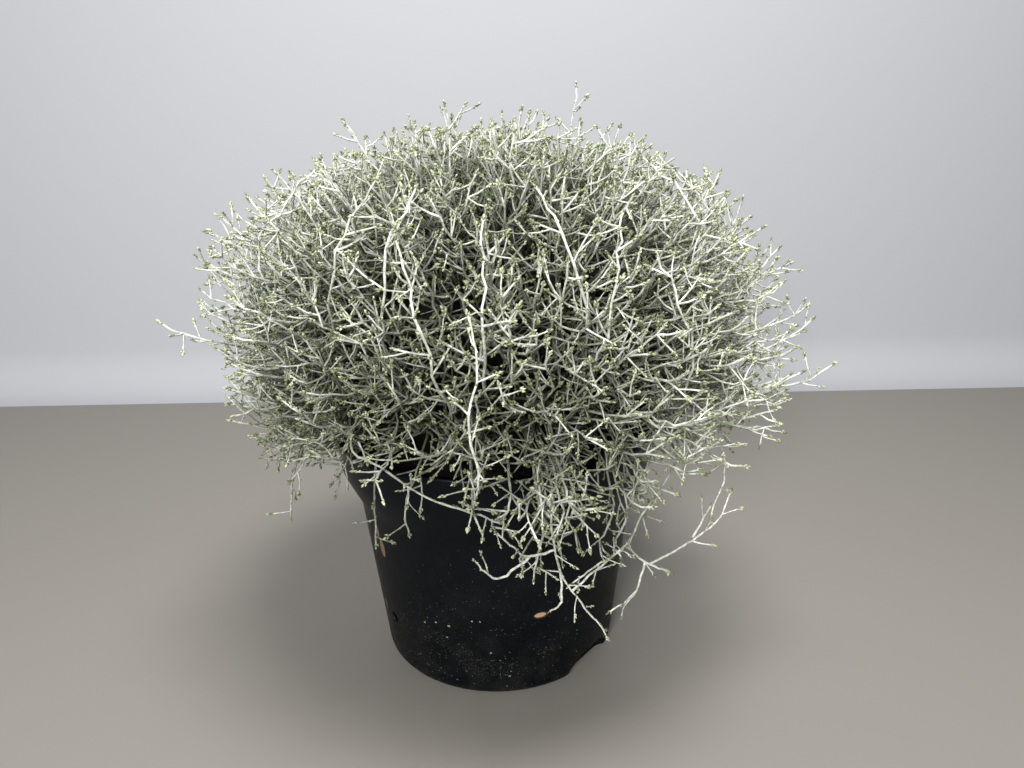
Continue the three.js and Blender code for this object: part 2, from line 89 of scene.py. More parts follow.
def mesh_object(name, bm, material):
    mesh = bpy.data.meshes.new(name)
    bm.to_mesh(mesh)
    bm.free()
    mesh.shade_smooth()
    mesh.materials.append(material)
    return link(bpy.data.objects.new(name, mesh))


def plain_material(name, colour, roughness):
    material = bpy.data.materials.new(name)
    material.use_nodes = True
    shader = material.node_tree.nodes["Principled BSDF"]
    shader.inputs["Base Color"].default_value = colour
    shader.inputs["Roughness"].default_value = roughness
    return material


def stage_strip(name, stops, material):
    """A flat strip across the picture through a row of (y, z) stops."""
    bm = bmesh.new()
    edges = []
    for y, z in stops:
        ends = [bm.verts.new((side * TABLE_WIDTH / 2, y, z)) for side in (-1, 1)]
        edges.append(bm.edges.new(ends))
    for low, high in zip(edges, edges[1:]):
        bmesh.ops.bridge_loops(bm, edges=[low, high])
    bmesh.ops.recalc_face_normals(bm, faces=bm.faces)
    strip = mesh_object(name, bm, material)
    return strip


sweep = [
    (TABLE_BACK + SWEEP_RADIUS * math.sin(turn), SWEEP_RADIUS * (1 - math.cos(turn)))
    for turn in [math.radians(step) for step in range(0, 91, 15)]
]
table_material = plain_material("table", TABLE_COLOUR, 0.6)
wall_material = plain_material("wall", WALL_COLOUR, 0.7)
stage_strip("table", [(TABLE_FRONT, 0), (TABLE_BACK, 0)], table_material)
stage_strip("backdrop", [*sweep, (sweep[-1][0], WALL_HEIGHT)], wall_material)


def soft_light(name, place, target, size, power, colour=(1, 1, 1)):
    data = bpy.data.lights.new(name, "AREA")
    data.shape = "RECTANGLE"
    data.size, data.size_y = size
    data.energy = power
    data.color = colour
    light = link(bpy.data.objects.new(name, data))
    light.location = place
    light.rotation_euler = (Vector(target) - Vector(place)).to_track_quat("-Z", "Y").to_euler()


soft_light("overhead", (0.1, -0.25, 1.15), (0, 0, 0.15), (0.4, 0.3), 8.4)
soft_light("front", (-0.3, -1.35, 0.74), (0, 0, 0.13), (0.4, 0.3), 20.5)
soft_light("left", (-1.3, -0.2, 0.8), (0, 0, 0.15), (0.8, 0.8), 0.5)
soft_light("right", (1.3, -0.3, 0.8), (0, 0, 0.15), (0.8, 0.8), 0.6)

world = bpy.data.worlds.new("studio")
world.use_nodes = True
world.node_tree.nodes["Background"].inputs["Color"].default_value = (0.75, 0.78, 0.82, 1)
world.node_tree.nodes["Background"].inputs["Strength"].default_value = 0.09
bpy.context.scene.world = world
bpy.context.scene.view_settings.view_transform = "Standard"
bpy.context.scene.view_settings.look = "Medium High Contrast"


# Pot
# A moulded nursery pot of thin black plastic: a tapered wall, a smooth flare, a collar with a
# lip, a foot ring, and drain recesses pressed into its bottom edge.
POT_SEGMENTS = 144
POT_WALL = 1.6 * MM
FOOT_RISE = 3 * MM
RECESS_AZIMUTHS = (-40, 140)
RECESS_HALF_WIDTH = 17.5 * MM
RECESS_HEIGHT = 13 * MM
RECESS_FACE = 58.6 * MM
HOLES = ((-145, 31.5, 3), (35, 31.5, 3), (-40, 6.5, 4), (140, 6.5, 4))
POT_COLOUR = (0.0026, 0.0036, 0.0052, 1)
TAN = (0.21, 0.15, 0.095, 1)
CREAM = (0.5, 0.33, 0.22, 1)
BROWN = (0.07, 0.04, 0.022, 1)
CHALK = (0.3, 0.28, 0.2, 1)
WALL_MARKS = (
    (-145.5, 87, 1.8, 5.5, 0.4, TAN), (-143.7, 77, 2.6, 6, 0.3, TAN), (-155, 34, 1.2, 4, 0.8, TAN),
    (-71.7, 50.3, 4.3, 2.3, 0.15, BROWN), (-72, 50.5, 3.4, 1.5, 0.15, CREAM), (-122.6, 41.6, 0.6, 0.6, 0.2, CHALK),
    (-116.7, 44, 0.7, 0.6, 0.2, CHALK), (-110.6, 43.7, 0.9, 0.7, 0.2, CHALK), (-100.2, 49, 0.6, 0.5, 0.2, CHALK),
    (-96.9, 49, 0.5, 0.5, 0.2, CHALK), (-112, 36, 0.6, 0.5, 0.2, CHALK), (-93, 29, 0.6, 0.5, 0.2, CHALK),
    (-85, 13, 0.7, 0.5, 0.2, CHALK),
)
SCRATCHED = ((-68.5, 26, 8, 3), (-107, 28, 7, 4), (-116, 34, 8, 5), (-137, 34, 4, 7), (-96, 19, 18, 6))

pot_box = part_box("pot")
rim_radius = pot_box[1][0]
rim_height = pot_box[1][2]


def pot_outside():
    """Corners of the pot's outside as (radius, height), from the foot ring to the rim."""
    corners = [(50.6, 0), (61.4, 0), (63.0, 0.5), (64.6, 1.6), (65.6, 3.0), (66.0, 4.4)]
    corners += [(66.0 + 10 * (h - 4.4) / 88.9, h) for h in range(6, 24, 2)]
    corners += [(66.0 + 10 * (h - 4.4) / 88.9, h) for h in range(26, 93, 8)]
    corners += [(76.0, 93.3), (77.0, 96.6), (78.6, 100.2), (80.3, 103.6), (80.9, 104.8), (82.2, 107.6)]
    corners += [(83.9, 111.2), (85.0, 113.8), (85.6, 116.4), (86.2, 122), (86.9, 129), (87.2, 130.6)]
    corners += [(88.1, 131.4), (88.2, 132.6), (88.0, 134.3), (87.3, 135)]
    return [Vector((radius * MM, 0, height * MM)) for radius, height in corners]


def pot_inside(outside):
    wall = [Vector((corner.x - POT_WALL, 0, max(corner.z, POT_WALL))) for corner in outside[1:-4]]
    rim = Vector((rim_radius - 2.6 * MM, 0, rim_height))
    return [rim, *reversed(wall), Vector((50.6 * MM, 0, POT_WALL))]


def press_recess(bm, azimuth):
    """Presses the bottom edge in, so that water can leave between the pot and what it stands on."""
    out = Vector((math.cos(math.radians(azimuth)), math.sin(math.radians(azimuth)), 0))
    across = Vector((-out.y, out.x, 0))
    for vert in bm.verts:
        depth = vert.co.dot(out) - RECESS_FACE
        if depth <= 0 or vert.co.z > RECESS_HEIGHT:
            continue
        spread = (vert.co.dot(across) / RECESS_HALF_WIDTH) ** 2 + (vert.co.z / RECESS_HEIGHT) ** 2
        if spread < 1:
            share = min(1, (1 - spread) * 6)
            inner = vert.co.xy.length < 64.2 * MM + vert.co.z * 0.11 and vert.co.z > POT_WALL * 0.9
            vert.co -= out * share * (depth + (POT_WALL if inner else 0))


def node(tree, kind, **settings):
    made = tree.nodes.new(kind)
    for name, value in settings.items():
        setattr(made, name, value)
    return made


def ramp(tree, value, stops):
    made = tree.nodes.new("ShaderNodeValToRGB")
    tree.links.new(value, made.inputs["Fac"])
    elements = made.color_ramp.elements
    while len(elements) < len(stops):
        elements.new(0.5)
    for element, (position, colour) in zip(elements, stops):
        element.position = position
        element.color = colour
    return made.outputs["Color"]


def noise(tree, coordinates, scale, detail=2, roughness=0.5):
    made = tree.nodes.new("ShaderNodeTexNoise")
    made.inputs["Scale"].default_value = scale
    made.inputs["Detail"].default_value = detail
    made.inputs["Roughness"].default_value = roughness
    tree.links.new(coordinates, made.inputs["Vector"])
    return made.outputs["Fac"]


def mix(tree, mask, first, second, blend="MIX"):
    made = tree.nodes.new("ShaderNodeMix")
    made.data_type = "RGBA"
    made.blend_type = blend
    for socket, value in ((made.inputs[0], mask), (made.inputs[6], first), (made.inputs[7], second)):
        if isinstance(value, bpy.types.NodeSocket):
            tree.links.new(value, socket)
        else:
            socket.default_value = value
    return made.outputs[2]


def maths(tree, operation, first, second):
    made = tree.nodes.new("ShaderNodeMath")
    made.operation = operation
    for socket, value in zip(made.inputs, (first, second)):
        if isinstance(value, bpy.types.NodeSocket):
            tree.links.new(value, socket)
        else:
            socket.default_value = value
    return made.outputs[0]


def grey(value):
    return (value, value, value, 1)


def bump(tree, height, strength, distance):
    made = tree.nodes.new("ShaderNodeBump")
    made.inputs["Strength"].default_value = strength
    made.inputs["Distance"].default_value = distance
    tree.links.new(height, made.inputs["Height"])
    return made.outputs["Normal"]


def new_material(name):
    material = bpy.data.materials.new(name)
    material.use_nodes = True
    tree = material.node_tree
    coordinates = tree.nodes.new("ShaderNodeTexCoord").outputs["Object"]
    return material, tree, tree.nodes["Principled BSDF"], coordinates


def wall_mark(tree, place, azimuth, height, width, tall, ragged):
    """The mask of a mark on the pot's wall, with its half width and half height in millimetres."""
    turn = math.radians(azimuth)
    radius = 65.5 + height * 0.1125
    local = node(tree, "ShaderNodeMapping", vector_type="TEXTURE")
    local.inputs["Location"].default_value = (
        radius * math.cos(turn) * MM, radius * math.sin(turn) * MM, height * MM)
    local.inputs["Rotation"].default_value = (0, 0, turn)
    local.inputs["Scale"].default_value = (8 * MM, width * MM, tall * MM)
    tree.links.new(place, local.inputs["Vector"])
    distance = node(tree, "ShaderNodeVectorMath", operation="LENGTH")
    tree.links.new(local.outputs[0], distance.inputs[0])
    rough = maths(tree, "MULTIPLY", noise(tree, place, 700, 4, 0.7), ragged)
    edge = maths(tree, "MULTIPLY", maths(tree, "ADD", distance.outputs["Value"], rough), 0.5)
    middle = 0.5 + ragged * 0.25
    return ramp(tree, edge, [(middle - 0.08, grey(1)), (middle, grey(0))])


def pot_material():
    material, tree, shader, place = new_material("pot_plastic")
    height = tree.nodes.new("ShaderNodeSeparateXYZ")
    tree.links.new(place, height.inputs[0])
    level = maths(tree, "DIVIDE", height.outputs["Z"], rim_height)
    lower = ramp(tree, level, [(0.0, grey(1)), (0.3, grey(0.45)), (0.7, grey(0.12)), (1.0, grey(0.05))])
    foot = ramp(tree, level, [(0.0, grey(1)), (0.05, grey(0))])
    dust = ramp(tree, noise(tree, place, 60, 6, 0.7), [(0.42, grey(0)), (0.75, grey(1))])
    specks = ramp(tree, noise(tree, place, 900, 2, 0.5), [(0.68, grey(0)), (0.73, grey(1))])
    clods = ramp(tree, noise(tree, place, 160, 5, 0.7), [(0.5, grey(0)), (0.6, grey(1))])
    film = mix(tree, lower, grey(0), dust)
    colour = mix(tree, film, POT_COLOUR, (0.024, 0.0225, 0.019, 1))
    colour = mix(tree, mix(tree, lower, grey(0), specks), colour, (0.26, 0.24, 0.19, 1))
    colour = mix(tree, mix(tree, foot, grey(0), clods), colour, (0.045, 0.036, 0.02, 1))
    for azimuth, middle, width, tall, ragged, paint in WALL_MARKS:
        colour = mix(tree, wall_mark(tree, place, azimuth, middle, width, tall, ragged), colour, paint)
    scratches = ramp(tree, noise(tree, place, 1100, 5, 0.75), [(0.57, grey(0)), (0.68, grey(0.5))])
    for azimuth, middle, width, tall in SCRATCHED:
        mask = wall_mark(tree, place, azimuth, middle, width, tall, 1.2)
        colour = mix(tree, mix(tree, mask, grey(0), scratches), colour, CHALK)
    tree.links.new(colour, shader.inputs["Base Color"])
    rough = ramp(tree, film, [(0.0, grey(0.36)), (0.6, grey(0.62))])
    tree.links.new(rough, shader.inputs["Roughness"])
    shader.inputs["Specular IOR Level"].default_value = 0.26
    shader.inputs["Specular Tint"].default_value = (0.75, 0.88, 1, 1)
    lines = ramp(tree, level, [(0.083, grey(0)), (0.086, grey(1)), (0.089, grey(0)), (0.772, grey(0)),
                               (0.775, grey(1)), (0.778, grey(0))])
    grain = maths(tree, "ADD", maths(tree, "MULTIPLY", noise(tree, place, 900, 2), 0.5), lines)
    tree.links.new(bump(tree, grain, 0.2, 0.0003), shader.inputs["Normal"])
    return material


outside = pot_outside()
outline = [
    Vector((0, 0, FOOT_RISE)), Vector((47.6 * MM, 0, FOOT_RISE)), *outside, *pot_inside(outside),
    Vector((47.6 * MM, 0, FOOT_RISE + POT_WALL)), Vector((0, 0, FOOT_RISE + POT_WALL)),
]
bm = bmesh.new()
ring = [bm.verts.new(corner) for corner in outline]
for start, end in zip(ring, ring[1:]):
    bm.edges.new((start, end))
bmesh.ops.spin(bm, geom=bm.verts[:] + bm.edges[:], cent=(0, 0, 0), axis=(0, 0, 1),
               angle=math.tau, steps=POT_SEGMENTS, use_merge=True, use_duplicate=False)
bmesh.ops.remove_doubles(bm, verts=bm.verts, dist=1e-6)
bmesh.ops.recalc_face_normals(bm, faces=bm.faces)
for azimuth in RECESS_AZIMUTHS:
    press_recess(bm, azimuth)
pot_plastic = pot_material()
pot = mesh_object("nursery_pot", bm, pot_plastic)

for number, (azimuth, height, radius) in enumerate(HOLES):
    bm = bmesh.new()
    turn = Matrix.Rotation(math.radians(azimuth), 4, "Z") @ Matrix.Rotation(math.pi / 2, 4, "Y")
    bmesh.ops.create_cone(bm, cap_ends=True, segments=24, radius1=radius * MM, radius2=radius * MM,
                          depth=40 * MM)
    out = Vector((math.cos(math.radians(azimuth)), math.sin(math.radians(azimuth)), 0)) * 68 * MM
    bmesh.ops.transform(bm, matrix=Matrix.Translation(out + Vector((0, 0, height * MM))) @ turn,
                        verts=bm.verts)
    cutter = mesh_object(f"hole_cutter_{number}", bm, pot_plastic)
    cut = pot.modifiers.new("hole", "BOOLEAN")
    cut.operation = "DIFFERENCE"
    cut.object = cutter
    with bpy.context.temp_override(object=pot, active_object=pot):
        bpy.ops.object.modifier_apply(modifier=cut.name)
    bpy.data.objects.remove(cutter)

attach(pot, "root")
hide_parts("pot")


# Compost
# Dark peat with bark crumbs, filled to a finger's width below the rim and heaped a little in the
# middle. It shows only as darkness between the stems.
SOIL_SEGMENTS = 96
SOIL_ROUGHNESS = 1.6 * MM

soil_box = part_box("soil")


def soil_material():
    material, tree, shader, place = new_material("compost")
    crumbs = noise(tree, place, 220, 5, 0.65)
    colour = ramp(tree, crumbs, [(0.35, (0.008, 0.006, 0.004, 1)), (0.55, (0.03, 0.02, 0.013, 1)),
                                 (0.75, (0.085, 0.06, 0.04, 1))])
    tree.links.new(colour, shader.inputs["Base Color"])
    shader.inputs["Roughness"].default_value = 0.95
    tree.links.new(bump(tree, crumbs, 0.8, 0.002), shader.inputs["Normal"])
    return material


def soil_outline():
    inner = [(50.6, 3.0), (61.0, 3.0), (63.6, 4.4), (74.0, 93.3), (78.4, 103.6), (83.2, 114.5), (83.5, 117.5)]
    side = [Vector((radius * MM, 0, height * MM)) for radius, height in inner]
    top = []
    for step in range(1, 26):
        share = 1 - step / 25
        swell = (1 - share ** 2) * 5.5
        top.append(Vector((83.0 * share * MM, 0, (118 + swell) * MM)))
    return [Vector((0, 0, 5 * MM)), Vector((47.6 * MM, 0, 5 * MM)), *side, *top]


bm = bmesh.new()
ring = [bm.verts.new(corner) for corner in soil_outline()]
for start, end in zip(ring, ring[1:]):
    bm.edges.new((start, end))
bmesh.ops.spin(bm, geom=bm.verts[:] + bm.edges[:], cent=(0, 0, 0), axis=(0, 0, 1),
               angle=math.tau, steps=SOIL_SEGMENTS, use_merge=True, use_duplicate=False)
bmesh.ops.remove_doubles(bm, verts=bm.verts, dist=1e-6)
bmesh.ops.recalc_face_normals(bm, faces=bm.faces)
rough_random = random.Random(5)
for vert in bm.verts:
    if vert.co.z > 117.8 * MM and vert.co.xy.length < 82 * MM:
        vert.co.z += rough_random.uniform(-SOIL_ROUGHNESS, SOIL_ROUGHNESS)
for azimuth in RECESS_AZIMUTHS:
    out = Vector((math.cos(math.radians(azimuth)), math.sin(math.radians(azimuth)), 0))
    for vert in bm.verts:
        over = vert.co.dot(out) - (RECESS_FACE - 2.4 * MM)
        if over > 0 and vert.co.z < 16 * MM:
            vert.co -= out * over
soil = mesh_object("compost", bm, soil_material())
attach(soil, "root")
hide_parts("soil")


# Bush: its envelope
# One plant clipped by nature to a cushion. The twig tips reach a flattened dome round a centre
# above the rim, with a few swells and dips where the real one isn't even.
BUSH_CENTRE = Vector((0, 0, 165 * MM))
GROWTH_FOCUS = Vector((0, 0, 58 * MM))
SIDE_REACH = 146 * MM
TOP_REACH = 124 * MM
SQUARENESS = 2.5
SWELLS = (
    (-12, 6, 24, 15), (-165, 27, 22, 7), (-45, -12, 22, 6), (180, 56, 13, -8), (5, 52, 14, -5),
    (-150, -14, 24, -12),
)
RING_SPRAYS = 6
RING_START = math.radians(-30)
MIDDLE_SLOPE = 0.43
GOLDEN_ANGLE = math.pi * (3 - math.sqrt(5))

grow_random = random.Random(29)


def scatter(amount):
    return grow_random.uniform(-amount, amount)


def direction_of(azimuth, elevation):
    level = math.cos(elevation)
    return Vector((level * math.cos(azimuth), level * math.sin(azimuth), math.sin(elevation)))


swell_list = [
    (direction_of(math.radians(azimuth), math.radians(elevation)), spread, height * MM)
    for azimuth, elevation, spread, height in SWELLS
]


def reach_of(direction):
    """Distance from the bush's centre to its surface in a direction."""
    elevation = math.asin(max(-1, min(1, direction.z)))
    azimuth = math.atan2(direction.y, direction.x)
    level = (math.cos(elevation) / SIDE_REACH) ** SQUARENESS
    height = (abs(math.sin(elevation)) / TOP_REACH) ** SQUARENESS
    reach = (level + height) ** (-1 / SQUARENESS)
    for towards, spread, swell in swell_list:
        apart = math.degrees(math.acos(max(-1, min(1, towards.dot(direction)))))
        reach += swell * math.exp(-(apart / spread) ** 2)
    broad = math.sin(azimuth * 5 + elevation * 7) * math.cos(elevation)
    fine = math.sin(azimuth * 9 - elevation * 11) * math.cos(elevation)
    return reach + 3 * MM * broad + 2 * MM * fine


def share_at(point):
    """How far out a point is: 0 at the bush's centre, 1 at its surface."""
    offset = point - BUSH_CENTRE
    length = offset.length
    return length / reach_of(offset / length) if length > 1e-6 else 0


def surface_point(direction, share):
    return BUSH_CENTRE + direction * reach_of(direction) * share


def spray_at(point):
    """The name of the CAD spray whose space holds a point."""
    outward = [
        point.xy.dot(direction_of(RING_START + number * math.tau / RING_SPRAYS, 0).xy)
        for number in range(RING_SPRAYS)
    ]
    best = max(range(RING_SPRAYS), key=lambda number: outward[number])
    in_middle = outward[best] < MIDDLE_SLOPE * (point.z - BUSH_CENTRE.z)
    return "spray_middle" if in_middle else f"spray_{best + 1}"


# Bush: stems
# Every stem is a row of points with a thickness at each. Main stems rise from the compost, long
# shoots leave them and run out to the surface, and side shoots and twigs leave those in turn,
# each one starting wide and turning out towards the light.
MAIN_STEMS = 90
SHOOTS = 990
TIP_SHARES = (0.84, 0.995)
TOP_SHARE = 0.03
SHOOT_LOWEST = math.radians(-20)
LOW_EDGE = (
    (-180, -17), (-160, -15), (-140, -9), (-108, -5), (-92, -9), (-80, -14), (-58, -13), (-45, -9),
    (-15, -5), (10, -8), (60, -16), (130, -16), (180, -15),
)
MAIN_THICKNESS = (1.6, 1.0)
SHOOT_THICKNESS = (0.74, 0.46)
SIDE_THICKNESS = (0.49, 0.36)
TWIG_THICKNESS = (0.38, 0.3)
HANGING_THICKNESS = (0.6, 0.42)
KINK = 0.2

stems = {name: [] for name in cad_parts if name.startswith("spray")}
leaves = {name: [] for name in stems}


def lean_away(along, angle, turn):
    """A direction at an angle to another, turned round it."""
    across = along.cross(Vector((1, 0, 0)) if abs(along.z) > 0.9 else Vector((0, 0, 1))).normalized()
    across.rotate(Matrix.Rotation(turn, 3, along))
    return along * math.cos(angle) + across * math.sin(angle)


def outward_at(point):
    return (point - GROWTH_FOCUS).normalized()


def clear_of_pot(point):
    """Pushes a point out of the pot's wall and rim."""
    level = point.xy.length
    if point.z > rim_height + 3 * MM or level > rim_radius + 2.5 * MM:
        return point
    if level < rim_radius - 6 * MM and point.z > soil_box[1][2] - 8 * MM:
        return point
    limit = (rim_radius if point.z > 92 * MM else 76 * MM) + 2.5 * MM
    if level < limit and point.z < rim_height + 3 * MM:
        return Vector((point.x * limit / level, point.y * limit / level, point.z))
    return point


def bezier(start, start_pull, end_pull, end, steps):
    points = []
    for step in range(steps + 1):
        t = step / steps
        points.append(start * (1 - t) ** 3 + start_pull * 3 * t * (1 - t) ** 2
                      + end_pull * 3 * t * t * (1 - t) + end * t ** 3)
    return points


def smooth_path(corners, steps=5):
    """A smooth curve through its corners."""
    ends = [corners[0] * 2 - corners[1], *corners, corners[-1] * 2 - corners[-2]]
    points = []
    for before, start, end, after in zip(ends, ends[1:], ends[2:], ends[3:]):
        for step in range(steps):
            t = step / steps
            points.append(0.5 * ((2 * start) + (end - before) * t
                                 + (2 * before - 5 * start + 4 * end - after) * t * t
                                 + (3 * start - before - 3 * end + after) * t ** 3))
    return [*points, corners[-1]]


def wander(points, amount):
    """Small kinks where side shoots leave, as on a real twig."""
    for index in range(1, len(points) - 1):
        points[index] = points[index] + Vector((scatter(amount), scatter(amount), scatter(amount)))
    return points


def add_stem(spray, points, thickness, sides):
    count = len(points) - 1
    radii = [
        (thickness[0] + (thickness[1] - thickness[0]) * index / count) * grow_random.uniform(0.88, 1.16)
        for index in range(count + 1)
    ]
    stems[spray].append((points, radii, sides))


def grow(start, heading, length, pull, limit):
    """A stem that starts along its heading and turns out towards the light, up to a limit."""
    step = 4.6 * MM
    points = [start]
    for _ in range(max(2, round(length / step))):
        heading = heading + outward_at(points[-1]) * pull
        heading += Vector((scatter(KINK), scatter(KINK), scatter(KINK)))
        heading.normalize()
        point = clear_of_pot(points[-1] + heading * step)
        if share_at(point) > limit and len(points) > 1:
            break
        points.append(point)
    return points


# Bush: scale leaves
# Tiny felted leaves sit along the young twigs like beads and close in a bud at every tip.
LEAF_LENGTH = 2.0
LEAF_WIDTH = 0.56
BUD_LEAVES = 4
LEAF_STEP = 3 * MM


def add_leaf(spray, point, heading, size):
    leaves[spray].append((point, heading, size))


def add_bud(spray, point, heading):
    """A closed tuft of small leaves at the end of a twig."""
    turn = grow_random.uniform(0, math.tau)
    size = grow_random.uniform(0.85, 1.3)
    add_leaf(spray, point + heading * 0.6 * MM, heading, size * 1.05)
    count = BUD_LEAVES if share_at(point) > 0.75 else 2
    for number in range(count - 1):
        along = lean_away(heading, math.radians(25 + scatter(11)), turn)
        add_leaf(spray, point - heading * 0.5 * MM * number, along, size * grow_random.uniform(0.75, 1.1))
        turn += GOLDEN_ANGLE


def add_beads(spray, points, start_share):
    """Small leaves pressed along a twig, in a spiral."""
    travelled = 0
    turn = grow_random.uniform(0, math.tau)
    for start, end in zip(points, points[1:]):
        along = end - start
        travelled += along.length
        if travelled < LEAF_STEP or share_at(end) < start_share:
            continue
        travelled = 0
        heading = lean_away(along.normalized(), math.radians(28), turn)
        add_leaf(spray, start.lerp(end, 0.5) + heading * 0.3 * MM, heading, grow_random.uniform(0.55, 0.85))
        turn += GOLDEN_ANGLE


def add_twigs(spray, points, limit, every=6.5 * MM, length=(5, 11)):
    """Short twigs in turn along a side shoot."""
    turn = grow_random.uniform(0, math.tau)
    travelled = grow_random.uniform(0, every * 0.6)
    for start, end in zip(points, points[1:]):
        travelled += (end - start).length
        if travelled < every:
            continue
        travelled = grow_random.uniform(-0.3, 0.2) * every
        heading = lean_away((end - start).normalized(), math.radians(58 + scatter(18)), turn)
        turn += GOLDEN_ANGLE
        twig = grow(start, heading, grow_random.uniform(*length) * MM, 0.2, limit)
        if len(twig) < 3:
            continue
        add_stem(spray, twig, TWIG_THICKNESS, 4)
        add_beads(spray, twig, 0.8)
        add_bud(spray, twig[-1], (twig[-1] - twig[-2]).normalized())


def add_side_shoots(spray, points, first, limit, spacing=7 * MM, longest=28):
    """Side shoots in turn along a long shoot, shorter towards its tip."""
    turn = grow_random.uniform(0, math.tau)
    travelled = 0
    count = len(points) - 1
    for index in range(1, count):
        share = index / count
        travelled += (points[index] - points[index - 1]).length
        if share < first or travelled < spacing:
            continue
        travelled = scatter(0.25) * spacing
        along = (points[index + 1] - points[index - 1]).normalized()
        heading = lean_away(along, math.radians(64 + scatter(16)), turn)
        turn += GOLDEN_ANGLE
        length = (longest - (longest - 9) * share) * grow_random.uniform(0.7, 1.2) * MM
        side = grow(points[index], heading, length, 0.17, limit)
        if len(side) < 3:
            continue
        add_stem(spray, side, SIDE_THICKNESS, 4)
        add_beads(spray, side[1:], 0.8)
        add_bud(spray, side[-1], (side[-1] - side[-2]).normalized())
        add_twigs(spray, side, limit)


def main_stems():
    """Main stems, as rows of points from the compost to halfway out."""
    mains = []
    for number in range(MAIN_STEMS):
        elevation = math.asin(1 - (number + 0.5) / MAIN_STEMS * 1.15)
        direction = direction_of(number * GOLDEN_ANGLE, max(elevation, math.radians(-4)))
        foot = Vector((direction.x, direction.y, 0)) * 26 * MM
        foot.z = soil_box[1][2] - 6 * MM
        end = surface_point(direction, 0.52)
        rise = foot + Vector((0, 0, 30 * MM))
        points = wander(bezier(foot, rise, end - outward_at(end) * 22 * MM, end, 9), 1.2 * MM)
        mains.append([clear_of_pot(point) for point in points])
    return mains


mains = main_stems()
for points in mains:
    add_stem(spray_at(points[-1]), points, MAIN_THICKNESS, 6)


def add_shoot(tip, limit, slant=0.0, longest=28):
    """A long shoot from the best placed main stem to its tip, with side shoots and twigs."""
    spray = spray_at(tip)
    direction = (tip - BUSH_CENTRE).normalized()
    wanted = lean_away(direction, slant, grow_random.uniform(0, math.tau)) if slant else direction
    main = max(mains, key=lambda points: (points[-1] - BUSH_CENTRE).normalized().dot(wanted))
    index = grow_random.randint(6, len(main) - 1)
    start = main[index]
    along = (main[index] - main[index - 1]).normalized()
    span = (tip - start).length
    heading = lean_away(outward_at(tip), math.radians(abs(scatter(22))), grow_random.uniform(0, math.tau))
    points = bezier(start, start + along * span * 0.3, tip - heading * span * 0.38, tip,
                    max(6, round(span / (5 * MM))))
    points = [clear_of_pot(point) for point in wander(points, 0.9 * MM)]
    add_stem(spray, points, SHOOT_THICKNESS, 4)
    add_side_shoots(spray, points, 0.42, limit, longest=longest)
    add_beads(spray, points[len(points) // 2:], 0.78)
    add_bud(spray, points[-1], (points[-1] - points[-2]).normalized())


def lowest_at(azimuth):
    """How far below the bush's centre the dome's growth reaches on one side, as an angle."""
    place = math.degrees(azimuth)
    for (before, low), (after, high) in zip(LOW_EDGE, LOW_EDGE[1:]):
        if place <= after:
            return math.radians(low + (high - low) * (place - before) / (after - before))
    return SHOOT_LOWEST


for number in range(SHOOTS):
    height = 1 - (number + 0.5) / SHOOTS * (1 - math.sin(SHOOT_LOWEST))
    azimuth = math.remainder(number * GOLDEN_ANGLE + scatter(0.07), math.tau)
    direction = direction_of(azimuth, math.asin(height))
    if math.asin(height) < lowest_at(azimuth):
        continue
    tip_share = grow_random.uniform(*TIP_SHARES) + TOP_SHARE * max(0, height)
    slant = math.radians(grow_random.choice((0, 12, 25, 38)))
    add_shoot(surface_point(direction, tip_share), tip_share + 0.02, slant)


# Bush: rising shoots
# Some of the strongest shoots lean out low down and then turn straight up along the dome's side.
RISING_SHOOTS = 24
RISING_THICKNESS = (0.68, 0.46)
RISING_STEPS = ((0, 0.5), (7, 0.74), (18, 0.88), (29, 0.94), (37, 0.98))

for number in range(RISING_SHOOTS):
    azimuth = number * GOLDEN_ANGLE + scatter(0.1)
    start = math.radians(grow_random.uniform(-8, 24))
    lean = scatter(0.07)
    corners = [
        surface_point(direction_of(azimuth + lean * index, start + math.radians(rise)), share)
        for index, (rise, share) in enumerate(RISING_STEPS)
    ]
    points = [clear_of_pot(point) for point in wander(smooth_path(corners, 4), 1.2 * MM)]
    spray = spray_at(points[len(points) // 2])
    add_stem(spray, points, RISING_THICKNESS, 6)
    add_side_shoots(spray, points, 0.2, 1.01, longest=22)
    add_beads(spray, points[len(points) // 2:], 0.78)
    add_bud(spray, points[-1], (points[-1] - points[-2]).normalized())


# Bush: twigs that stand out of the dome
# Some shoots reach past the rest, most of them on top and at the sides.
TALL_TIPS = (
    (43, -12, 303), (-67, -16, 289), (-20, -6, 296), (17, -4, 293), (64, -10, 284),
    (-100, -27, 268), (-134, -46, 231), (-150, -58, 203), (110, -25, 263), (124, -29, 242),
    (158, -62, 178), (150, -52, 197), (-42, 30, 290), (30, 48, 292), (-80, 90, 262),
    (96, 84, 262), (10, 128, 238), (-132, 66, 214), (140, 70, 205), (-60, -100, 262),
    (70, -98, 256), (5, -122, 246),
)

for corner in TALL_TIPS:
    tip = Vector(corner) * MM
    add_shoot(tip, share_at(tip) + 0.02, longest=20)


